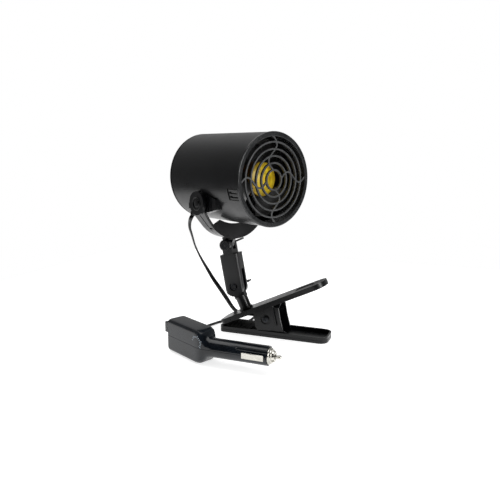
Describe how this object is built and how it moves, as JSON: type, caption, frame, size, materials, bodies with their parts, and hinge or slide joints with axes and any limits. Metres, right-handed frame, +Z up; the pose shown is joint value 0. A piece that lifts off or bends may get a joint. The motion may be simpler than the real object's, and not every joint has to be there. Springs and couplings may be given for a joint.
{
  "type": "clip-on car fan",
  "caption": "Round car fan head in a tilting yoke, on a two-knuckle stem and a spring clip, with a lead to a switched lighter-socket plug.",
  "frame": {"origin": "centre of the fan's own bounding box on the surface it stands on, measured without the cord and plug", "axes": "+Z up, +X from the clip's nose to its handles, -Y the side the plug lies on"},
  "size_m": [0.2008, 0.204, 0.2465],
  "materials": {
    "black_plastic": "satin moulded",
    "plug_plastic": "polished moulded",
    "switch_plastic": "gloss",
    "yellow_plastic": "translucent satin",
    "ivory_plastic": "plain",
    "soft_rubber": "matte",
    "cord_sheath": "satin vinyl",
    "wire_sheath": "vinyl",
    "zinc_steel": "zinc plated",
    "nickel": "nickel plated",
    "brass": "tinned",
    "carbon": "sintered",
    "magnet": "bonded ferrite",
    "armature": "laminated iron with windings",
    "fuse_glass": "clear tube"
  },
  "bodies": {
    "clip_base": {"lower_jaw": "black_plastic", "lower_pad": "soft_rubber", "jaw_pin": "zinc_steel", "pin_clip": "zinc_steel", "jaw_spring": "zinc_steel", "cord_drop": "cord_sheath", "cord_coil": "cord_sheath", "cord_lead": "cord_sheath", "coil_tie": "black_plastic", "plug_lower_shell": "plug_plastic", "plug_upper_shell": "plug_plastic", "plug_screw": "zinc_steel", "switch_bezel": "switch_plastic", "tip_cap": "nickel", "tip_spring": "zinc_steel", "plug_relief": "soft_rubber"},
    "clip_top": {"upper_jaw": "black_plastic", "upper_pad": "soft_rubber", "post": "black_plastic", "post_screw": "zinc_steel"},
    "stem_column": {"stem": "black_plastic", "upper_hex_nut": "zinc_steel", "lower_hex_nut": "zinc_steel"},
    "lower_wing": {"lower_wing_bolt": "black_plastic"},
    "upper_wing": {"upper_wing_bolt": "black_plastic"},
    "swivel": {"knuckle_head": "black_plastic", "swivel_screw": "zinc_steel"},
    "bracket": {"yoke": "black_plastic", "ear_cap_near": "black_plastic", "ear_cap_far": "black_plastic"},
    "head": {"body_shell": "black_plastic", "front_grille": "black_plastic", "rear_cover": "black_plastic", "motor_mount": "black_plastic", "motor_can": "zinc_steel", "motor_end_cap": "ivory_plastic", "motor_magnet": "magnet", "motor_brush_near": "carbon", "motor_brush_far": "carbon", "motor_terminal_near": "brass", "motor_terminal_far": "brass", "motor_screw_near": "zinc_steel", "motor_screw_far": "zinc_steel", "rear_screw_upper": "zinc_steel", "rear_screw_lower": "zinc_steel", "lead_wire_near": "wire_sheath", "lead_wire_far": "wire_sheath", "cord_gland": "soft_rubber", "pivot_screw_near": "zinc_steel", "pivot_screw_far": "zinc_steel", "pivot_washer_near": "black_plastic", "pivot_washer_far": "black_plastic"},
    "rotor": {"fan_rotor": "yellow_plastic", "motor_shaft": "zinc_steel", "armature": "armature"},
    "rocker": {"rocker_switch": "switch_plastic"},
    "tip": {"tip_pin": "nickel", "fuse": "fuse_glass"},
    "left_contact": {"contact_left": "nickel"},
    "right_contact": {"contact_right": "nickel"}
  },
  "joints": [
    {"name": "clip_hinge", "type": "hinge", "parent": "clip_base", "child": "clip_top", "pos_m": [0.02441, 0.00788, 0.0231], "axis": [0, 1, 0], "range_deg": [0, 22], "stiffness_Nm_per_rad": 0.6, "springref_deg": -28.65, "deforming": ["jaw_spring"]},
    {"name": "lower_knuckle", "type": "hinge", "parent": "clip_top", "child": "stem_column", "pos_m": [-0.0211, 0.00788, 0.05705], "axis": [0, 1, 0], "range_deg": [-40, 40]},
    {"name": "lower_wing_turn", "type": "hinge", "parent": "stem_column", "child": "lower_wing", "pos_m": [-0.0211, 0.00788, 0.05705], "axis": [0, 1, 0], "continuous": true},
    {"name": "upper_wing_turn", "type": "hinge", "parent": "stem_column", "child": "upper_wing", "pos_m": [-0.0309, 0.00788, 0.10995], "axis": [0, -1, 0], "range_deg": [-60, 0]},
    {"name": "upper_knuckle", "type": "hinge", "parent": "stem_column", "child": "swivel", "pos_m": [-0.0309, 0.00788, 0.10995], "axis": [0, -1, 0], "range_deg": [-25, 45]},
    {"name": "yoke_pan", "type": "hinge", "parent": "swivel", "child": "bracket", "pos_m": [-0.0309, 0.00788, 0.10995], "axis": [0, 0, 1], "range_deg": [-150, 150]},
    {"name": "head_tilt", "type": "hinge", "parent": "bracket", "child": "head", "pos_m": [-0.02122, 0.00266, 0.16505], "axis": [-0.4745, -0.8802, 0], "range_deg": [-15, 25], "deforming": ["cord_drop"]},
    {"name": "rotor_spin", "type": "hinge", "parent": "head", "child": "rotor", "pos_m": [0.02755, -0.02363, 0.19305], "axis": [0.8802, -0.4745, 0], "continuous": true},
    {"name": "switch_rock", "type": "hinge", "parent": "clip_base", "child": "rocker", "pos_m": [-0.0655, -0.09279, 0.0266], "axis": [0.4699, 0.8827, 0], "range_deg": [0, 16]},
    {"name": "tip_press", "type": "slide", "parent": "clip_base", "child": "tip", "axis": [-0.9996, 0.0297, 0], "range_m": [0, 0.003], "stiffness_N_per_m": 400, "springref_m": -0.002, "deforming": ["tip_spring"]},
    {"name": "left_contact_press", "type": "slide", "parent": "clip_base", "child": "left_contact", "axis": [0.0297, 0.9996, 0], "range_m": [0, 0.001], "stiffness_N_per_m": 400, "springref_m": -0.0005},
    {"name": "right_contact_press", "type": "slide", "parent": "clip_base", "child": "right_contact", "axis": [-0.0297, -0.9996, 0], "range_m": [0, 0.001], "stiffness_N_per_m": 400, "springref_m": -0.0005}
  ]
}
